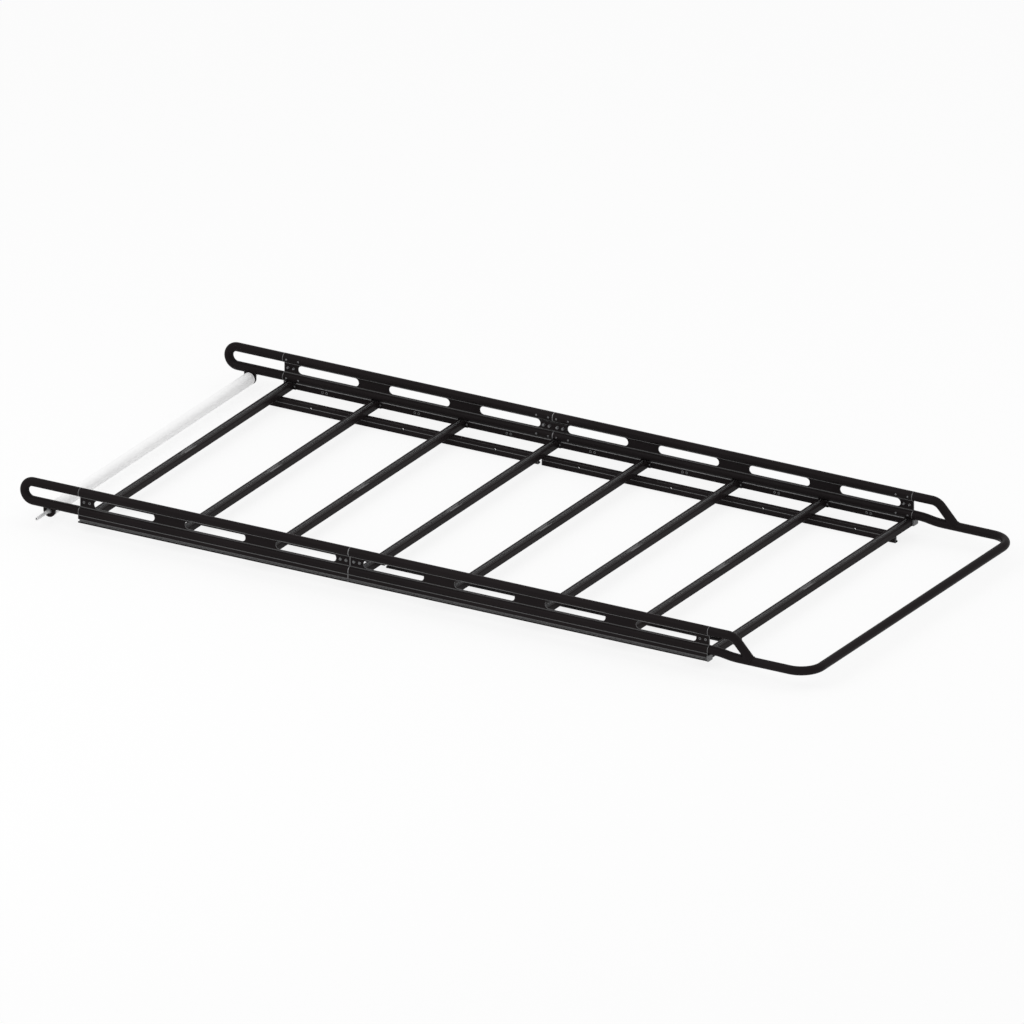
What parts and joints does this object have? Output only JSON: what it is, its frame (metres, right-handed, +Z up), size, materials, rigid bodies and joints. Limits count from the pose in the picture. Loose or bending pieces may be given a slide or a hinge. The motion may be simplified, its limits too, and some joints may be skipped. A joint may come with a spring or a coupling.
{
  "type": "van roof rack",
  "caption": "Van roof rack: slotted side rails, cross bars with a top channel, a loading roller between rear hoops, and a braced tubular loop in front.",
  "frame": {"origin": "under the middle of the rack's length and width, on the plane that the bearers stand on", "axes": "+X forwards along the rails, +Y to the left, +Z up"},
  "size_m": [3.1443, 1.554, 0.1567],
  "materials": {
    "coated_aluminium": "black powder coat on an aluminium extrusion",
    "coated_steel": "black powder coat on steel",
    "roller_skin": "pale bare aluminium, satin",
    "bright_steel": "bright drawn steel",
    "bush_plastic": "pale moulded plastic",
    "cap_plastic": "dark moulded plastic"
  },
  "bodies": {
    "rack": {"right_side_rail_rear": "coated_aluminium", "right_side_rail_front": "coated_aluminium", "left_side_rail_rear": "coated_aluminium", "left_side_rail_front": "coated_aluminium", "cross_bar_1": "coated_aluminium", "cross_bar_2": "coated_aluminium", "cross_bar_3": "coated_aluminium", "cross_bar_4": "coated_aluminium", "cross_bar_5": "coated_aluminium", "cross_bar_6": "coated_aluminium", "cross_bar_7": "coated_aluminium", "cross_bar_8": "coated_aluminium", "right_bar_brackets": "coated_steel", "left_bar_brackets": "coated_steel", "right_bearer_rear": "coated_steel", "right_bearer_front": "coated_steel", "left_bearer_rear": "coated_steel", "left_bearer_front": "coated_steel", "right_foot_cap": "cap_plastic", "left_foot_cap": "cap_plastic", "right_joint_plate": "coated_steel", "left_joint_plate": "coated_steel", "right_joint_sleeves": "coated_steel", "left_joint_sleeves": "coated_steel", "right_rear_hoop": "coated_steel", "left_rear_hoop": "coated_steel", "right_roller_bracket": "coated_steel", "left_roller_bracket": "coated_steel", "roller_spindle": "bright_steel", "front_loop": "coated_steel", "right_front_brace": "coated_steel", "left_front_brace": "coated_steel"},
    "roller": {"roller_tube": "roller_skin", "roller_bushes": "bush_plastic"}
  },
  "joints": [
    {"name": "roller_spin", "type": "hinge", "parent": "rack", "child": "roller", "pos_m": [-1.46475, 0, 0.0415], "axis": [0, 1, 0], "continuous": true}
  ]
}
